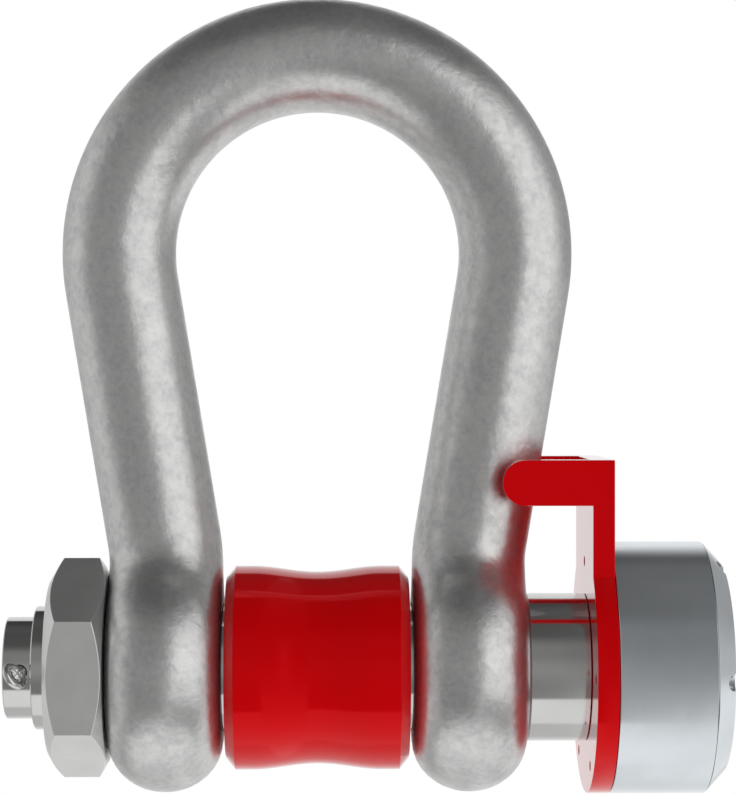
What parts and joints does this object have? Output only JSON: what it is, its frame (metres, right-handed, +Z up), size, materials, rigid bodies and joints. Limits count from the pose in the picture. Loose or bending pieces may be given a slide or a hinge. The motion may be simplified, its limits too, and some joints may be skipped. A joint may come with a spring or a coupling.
{
  "type": "load-measuring bow shackle",
  "caption": "Bow shackle with a bolt-type load-measuring pin, nut and split pin, load-centring bobbin, anti-rotation bracket and a round wireless telemetry drum on the pin.",
  "frame": {"origin": "inside top of the bow, in its middle plane, where a hook or sling bears and the shackle hangs", "axes": "+Z up the bow from the pin to the crown; +X along the pin from the nut to the telemetry drum; -Y is the front, square to the plane of the bow"},
  "size_m": [0.4791, 0.1686, 0.5339],
  "materials": {
    "bow_steel": "forged alloy steel, blasted and hot-dip galvanised, dull and faintly mottled",
    "pin_steel": "turned and ground stainless steel, smooth satin",
    "nut_steel": "milled steel, zinc plated, satin",
    "bright_steel": "bright zinc plated",
    "red_paint": "smooth glossy red coating",
    "drum_aluminium": "turned aluminium, clear anodised, satin",
    "black_oxide": "black oxide socket bolts and set screws",
    "seal_rubber": "black nitrile rubber",
    "board_green": "green solder mask",
    "black_plastic": "moulded black plastic",
    "cell_jacket": "plain printed film jacket",
    "brass": "turned brass",
    "green_lens": "clear green lens"
  },
  "bodies": {
    "bow": {"bow": "bow_steel"},
    "pin": {"load_pin": "pin_steel", "anti_rotation_bracket": "red_paint", "bracket_dowel_1": "bright_steel", "bracket_dowel_2": "bright_steel", "gauge_sleeve_1": "bright_steel", "gauge_sleeve_2": "bright_steel", "bore_plug": "seal_rubber", "housing_body": "drum_aluminium", "spigot_seal": "seal_rubber", "ring_nut": "nut_steel", "circuit_board": "board_green", "set_screw_1": "black_oxide", "set_screw_2": "black_oxide", "set_screw_3": "black_oxide", "set_screw_4": "black_oxide", "set_screw_5": "black_oxide", "standoff_1": "brass", "board_screw_1": "bright_steel", "standoff_2": "brass", "board_screw_2": "bright_steel", "standoff_3": "brass", "board_screw_3": "bright_steel", "radio_module": "bright_steel", "antenna": "board_green", "terminal_block": "black_plastic", "battery_holder": "black_plastic", "battery_cell_1": "cell_jacket", "battery_cell_2": "cell_jacket", "battery_cell_3": "cell_jacket", "battery_cell_4": "cell_jacket", "cover_seal": "seal_rubber"},
    "bobbin": {"bobbin": "red_paint"},
    "nut": {"hex_nut": "nut_steel"},
    "split_pin": {"cotter_pin": "bright_steel"},
    "cover": {"end_cover": "drum_aluminium", "cover_bolt_1": "black_oxide", "cover_bolt_2": "black_oxide", "cover_bolt_3": "black_oxide", "cover_bolt_4": "black_oxide", "cover_bolt_5": "black_oxide", "antenna_window": "black_plastic", "status_lens": "green_lens", "switch_block": "black_plastic", "button_seal": "seal_rubber"},
    "button": {"power_button": "seal_rubber"}
  },
  "joints": [
    {"name": "pin_turn", "type": "hinge", "parent": "bow", "child": "pin", "pos_m": [0, 0, -0.37355], "axis": [1, 0, 0], "range_deg": [-1.5, 1.5]},
    {"name": "bobbin_spin", "type": "hinge", "parent": "pin", "child": "bobbin", "pos_m": [0, 0, -0.37355], "axis": [1, 0, 0], "continuous": true},
    {"name": "nut_turn", "type": "hinge", "parent": "pin", "child": "nut", "pos_m": [0, 0, -0.37355], "axis": [-1, 0, 0], "range_deg": [0, 970]},
    {"name": "split_pin_pull", "type": "slide", "parent": "pin", "child": "split_pin", "axis": [0, -1, 0], "range_m": [0, 0.1]},
    {"name": "cover_off", "type": "slide", "parent": "pin", "child": "cover", "axis": [1, 0, 0], "range_m": [0, 0.09]},
    {"name": "button_press", "type": "slide", "parent": "cover", "child": "button", "axis": [-1, 0, 0], "range_m": [0, 0.0015], "stiffness_N_per_m": 1200}
  ]
}
